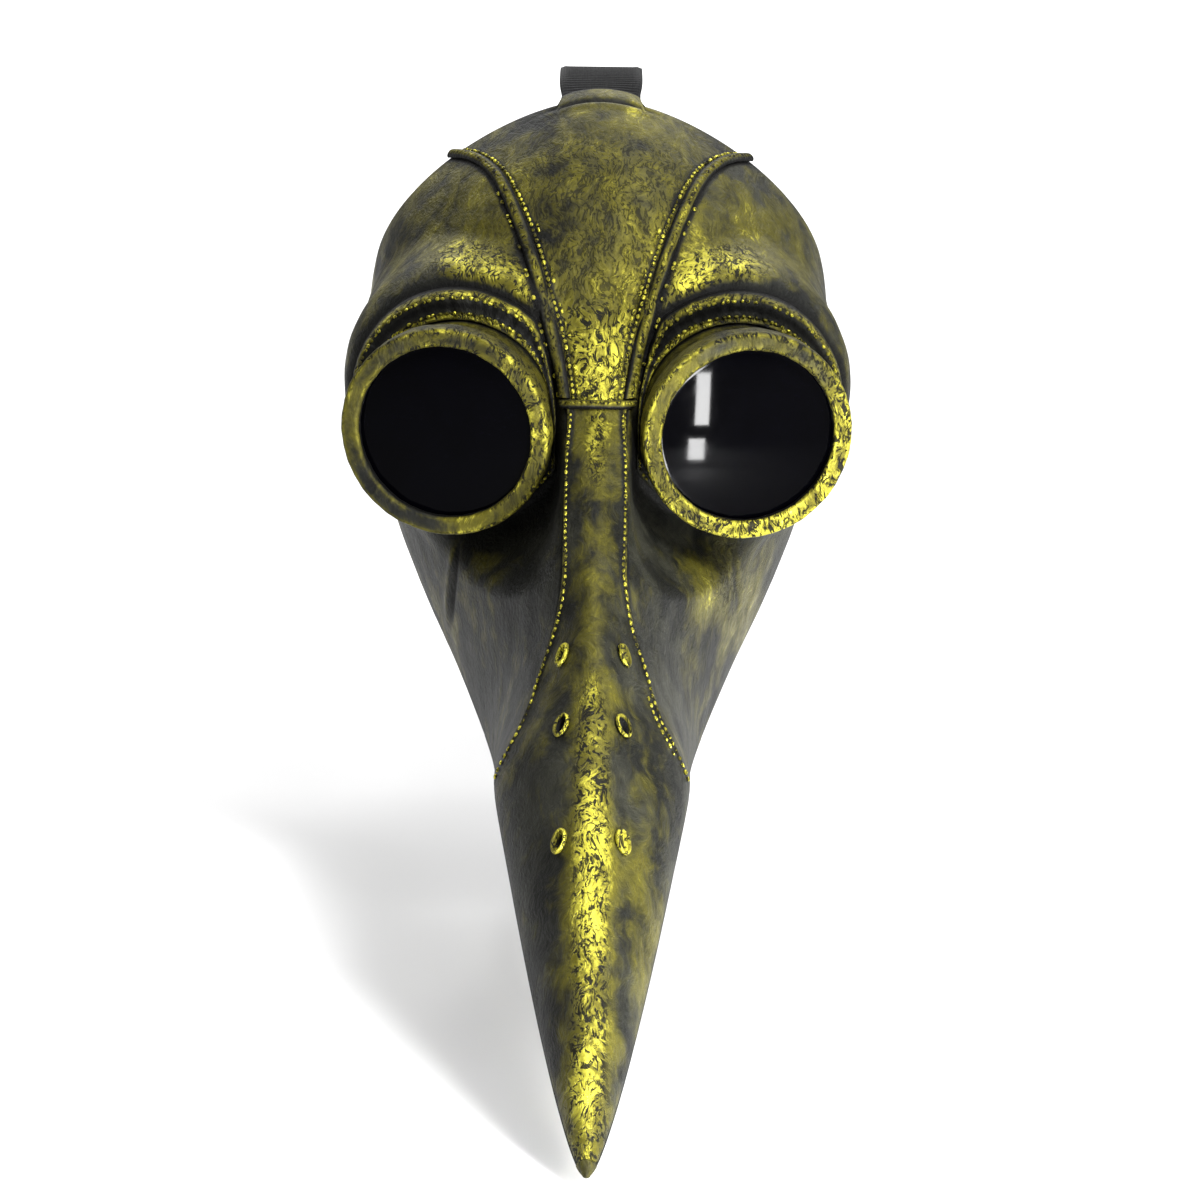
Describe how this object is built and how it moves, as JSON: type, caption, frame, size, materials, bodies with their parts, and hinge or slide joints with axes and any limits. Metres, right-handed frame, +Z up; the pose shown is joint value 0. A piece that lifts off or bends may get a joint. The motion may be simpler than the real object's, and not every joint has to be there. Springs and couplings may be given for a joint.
{
  "type": "plague doctor mask",
  "caption": "Beaked full-face mask of leather-look latex with two round goggle eyepieces, breathing eyelets along the beak and an elastic head harness.",
  "frame": {"origin": "centre of the wearer's head, midway between the temples", "axes": "+Z up, -Y the way the wearer looks, +X to the wearer's left"},
  "size_m": [0.1636, 0.409, 0.2645],
  "materials": {
    "latex": "charcoal latex with a leather grain, dry-brushed with dull gold",
    "gilt": "the same latex with a heavier coat of dull gold",
    "lens": "glossy near-black lens",
    "gasket": "matt black",
    "elastic": "black ribbed elastic webbing",
    "buckle": "satin black"
  },
  "bodies": {
    "mask": {"forehead_panel": "latex", "side_panel_left": "latex", "side_panel_right": "latex", "beak_top": "latex", "beak_bottom": "latex", "beak_tip": "latex", "seam_welt_left": "latex", "seam_welt_right": "latex", "bridge_welt": "latex", "eye_collar_left": "latex", "eye_collar_right": "latex", "eye_cup_left": "latex", "eye_cup_right": "latex", "eye_rim_left": "gilt", "eye_rim_right": "gilt", "vent_grommet_upper_left": "gilt", "vent_grommet_upper_right": "gilt", "vent_grommet_middle_left": "gilt", "vent_grommet_middle_right": "gilt", "vent_grommet_lower_left": "gilt", "vent_grommet_lower_right": "gilt", "eye_lens_left": "lens", "eye_lens_right": "lens", "lens_gasket_left": "gasket", "lens_gasket_right": "gasket", "side_strap_left": "elastic", "side_strap_right": "elastic", "top_strap": "elastic", "side_anchor_left": "elastic", "side_anchor_right": "elastic", "top_anchor": "elastic", "back_patch_outer": "elastic", "back_patch_inner": "elastic"},
    "slider_left": {"slider_left": "buckle"},
    "slider_right": {"slider_right": "buckle"},
    "slider_top": {"slider_top": "buckle"}
  },
  "joints": [
    {"name": "slider_left_slide", "type": "slide", "parent": "mask", "child": "slider_left", "axis": [0, 1, 0], "range_m": [-0.011, 0.011]},
    {"name": "slider_right_slide", "type": "slide", "parent": "mask", "child": "slider_right", "axis": [0, 1, 0], "range_m": [-0.011, 0.011]},
    {"name": "slider_top_slide", "type": "slide", "parent": "mask", "child": "slider_top", "axis": [0, 0.7071, -0.7071], "range_m": [-0.011, 0.011]}
  ]
}
